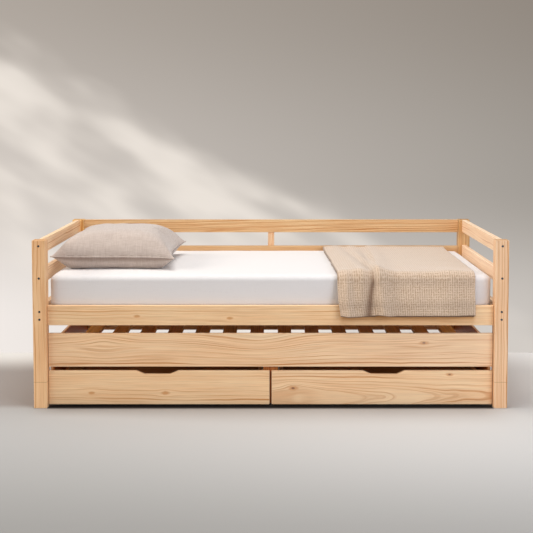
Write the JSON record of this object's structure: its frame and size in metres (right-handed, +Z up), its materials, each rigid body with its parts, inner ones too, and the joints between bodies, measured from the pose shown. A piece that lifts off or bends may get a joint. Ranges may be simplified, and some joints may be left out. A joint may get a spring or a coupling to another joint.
{
  "type": "storage daybed",
  "caption": "Pine daybed with end and back rails, a pull-out slatted trundle bed below it and drawers under that, made up with a mattress, a cushion and a throw.",
  "frame": {"origin": "on the floor under the middle of the bed frame", "axes": "+X along the bed to the right as seen from the front, +Y towards the back rails, +Z up"},
  "size_m": [2.13, 1.01, 0.7703],
  "materials": {
    "pine": "clear satin lacquer",
    "slat_pine": "planed, unlacquered",
    "drawer_board": "planed, unlacquered",
    "mattress_cover": "smooth white cotton",
    "pillow_linen": "washed natural linen",
    "throw_cloth": "waffle weave cotton",
    "bolt_steel": "blackened zinc",
    "wheel_plastic": "satin"
  },
  "bodies": {
    "bed_frame": {"back_batten": "pine", "back_guard_rail": "pine", "back_top_rail": "pine", "bed_slats": "slat_pine", "bolt_left_1": "bolt_steel", "bolt_left_2": "bolt_steel", "bolt_left_3": "bolt_steel", "bolt_left_4": "bolt_steel", "bolt_right_1": "bolt_steel", "bolt_right_2": "bolt_steel", "bolt_right_3": "bolt_steel", "bolt_right_4": "bolt_steel", "end_guard_rail_left": "pine", "end_guard_rail_right": "pine", "end_lower_rail_left": "pine", "end_lower_rail_right": "pine", "end_top_rail_left": "pine", "end_top_rail_right": "pine", "mattress": "mattress_cover", "pillow": "pillow_linen", "post_back_left": "pine", "post_back_right": "pine", "post_front_left": "pine", "post_front_right": "pine", "side_rail_back": "pine", "side_rail_front": "pine", "slat_ledge_back": "pine", "slat_ledge_front": "pine", "throw": "throw_cloth"},
    "trundle": {"trundle_back_panel": "pine", "trundle_centre_leg": "pine", "trundle_end_left": "pine", "trundle_end_right": "pine", "trundle_front_panel": "pine", "trundle_ledge_back": "pine", "trundle_ledge_front": "pine", "trundle_slats": "slat_pine"},
    "drawer_left": {"drawer_left_back": "drawer_board", "drawer_left_bottom": "drawer_board", "drawer_left_front": "pine", "drawer_left_side_left": "drawer_board", "drawer_left_side_right": "drawer_board"},
    "drawer_right": {"drawer_right_back": "drawer_board", "drawer_right_bottom": "drawer_board", "drawer_right_front": "pine", "drawer_right_side_left": "drawer_board", "drawer_right_side_right": "drawer_board"},
    "drawer_left_wheel_back_left": {"drawer_left_wheel_back_left": "wheel_plastic"},
    "drawer_left_wheel_back_right": {"drawer_left_wheel_back_right": "wheel_plastic"},
    "drawer_left_wheel_front_left": {"drawer_left_wheel_front_left": "wheel_plastic"},
    "drawer_left_wheel_front_right": {"drawer_left_wheel_front_right": "wheel_plastic"},
    "drawer_right_wheel_back_left": {"drawer_right_wheel_back_left": "wheel_plastic"},
    "drawer_right_wheel_back_right": {"drawer_right_wheel_back_right": "wheel_plastic"},
    "drawer_right_wheel_front_left": {"drawer_right_wheel_front_left": "wheel_plastic"},
    "drawer_right_wheel_front_right": {"drawer_right_wheel_front_right": "wheel_plastic"},
    "trundle_wheel_back_left": {"trundle_wheel_back_left": "wheel_plastic"},
    "trundle_wheel_back_right": {"trundle_wheel_back_right": "wheel_plastic"},
    "trundle_wheel_front_left": {"trundle_wheel_front_left": "wheel_plastic"},
    "trundle_wheel_front_right": {"trundle_wheel_front_right": "wheel_plastic"}
  },
  "joints": [
    {"name": "trundle_slide", "type": "slide", "parent": "bed_frame", "child": "trundle", "axis": [0, -1, 0], "range_m": [0, 0.86]},
    {"name": "drawer_left_slide", "type": "slide", "parent": "trundle", "child": "drawer_left", "axis": [0, -1, 0], "range_m": [0, 0.6]},
    {"name": "drawer_right_slide", "type": "slide", "parent": "trundle", "child": "drawer_right", "axis": [0, -1, 0], "range_m": [0, 0.6]},
    {"name": "drawer_left_spin_back_left", "type": "hinge", "parent": "drawer_left", "child": "drawer_left_wheel_back_left", "pos_m": [-0.9407, 0.1413, 0.02], "axis": [1, 0, 0], "continuous": true},
    {"name": "drawer_left_spin_back_right", "type": "hinge", "parent": "drawer_left", "child": "drawer_left_wheel_back_right", "pos_m": [-0.0585, 0.1413, 0.02], "axis": [1, 0, 0], "continuous": true},
    {"name": "drawer_left_spin_front_left", "type": "hinge", "parent": "drawer_left", "child": "drawer_left_wheel_front_left", "pos_m": [-0.9407, -0.387, 0.02], "axis": [1, 0, 0], "continuous": true},
    {"name": "drawer_left_spin_front_right", "type": "hinge", "parent": "drawer_left", "child": "drawer_left_wheel_front_right", "pos_m": [-0.0585, -0.387, 0.02], "axis": [1, 0, 0], "continuous": true},
    {"name": "drawer_right_spin_back_left", "type": "hinge", "parent": "drawer_right", "child": "drawer_right_wheel_back_left", "pos_m": [0.0585, 0.1413, 0.02], "axis": [1, 0, 0], "continuous": true},
    {"name": "drawer_right_spin_back_right", "type": "hinge", "parent": "drawer_right", "child": "drawer_right_wheel_back_right", "pos_m": [0.9407, 0.1413, 0.02], "axis": [1, 0, 0], "continuous": true},
    {"name": "drawer_right_spin_front_left", "type": "hinge", "parent": "drawer_right", "child": "drawer_right_wheel_front_left", "pos_m": [0.0585, -0.387, 0.02], "axis": [1, 0, 0], "continuous": true},
    {"name": "drawer_right_spin_front_right", "type": "hinge", "parent": "drawer_right", "child": "drawer_right_wheel_front_right", "pos_m": [0.9407, -0.387, 0.02], "axis": [1, 0, 0], "continuous": true},
    {"name": "trundle_spin_back_left", "type": "hinge", "parent": "trundle", "child": "trundle_wheel_back_left", "pos_m": [-0.9795, 0.343, 0.025], "axis": [1, 0, 0], "continuous": true},
    {"name": "trundle_spin_back_right", "type": "hinge", "parent": "trundle", "child": "trundle_wheel_back_right", "pos_m": [0.9795, 0.343, 0.025], "axis": [1, 0, 0], "continuous": true},
    {"name": "trundle_spin_front_left", "type": "hinge", "parent": "trundle", "child": "trundle_wheel_front_left", "pos_m": [-0.9795, -0.387, 0.025], "axis": [1, 0, 0], "continuous": true},
    {"name": "trundle_spin_front_right", "type": "hinge", "parent": "trundle", "child": "trundle_wheel_front_right", "pos_m": [0.9795, -0.387, 0.025], "axis": [1, 0, 0], "continuous": true}
  ],
  "couplings": [
    {"joint": "drawer_left_spin_back_left", "follows": "drawer_left_slide", "rad_per_m": 50},
    {"joint": "drawer_left_spin_back_right", "follows": "drawer_left_slide", "rad_per_m": 50},
    {"joint": "drawer_left_spin_front_left", "follows": "drawer_left_slide", "rad_per_m": 50},
    {"joint": "drawer_left_spin_front_right", "follows": "drawer_left_slide", "rad_per_m": 50},
    {"joint": "drawer_right_spin_back_left", "follows": "drawer_right_slide", "rad_per_m": 50},
    {"joint": "drawer_right_spin_back_right", "follows": "drawer_right_slide", "rad_per_m": 50},
    {"joint": "drawer_right_spin_front_left", "follows": "drawer_right_slide", "rad_per_m": 50},
    {"joint": "drawer_right_spin_front_right", "follows": "drawer_right_slide", "rad_per_m": 50},
    {"joint": "trundle_spin_back_left", "follows": "trundle_slide", "rad_per_m": 40},
    {"joint": "trundle_spin_back_right", "follows": "trundle_slide", "rad_per_m": 40},
    {"joint": "trundle_spin_front_left", "follows": "trundle_slide", "rad_per_m": 40},
    {"joint": "trundle_spin_front_right", "follows": "trundle_slide", "rad_per_m": 40}
  ]
}
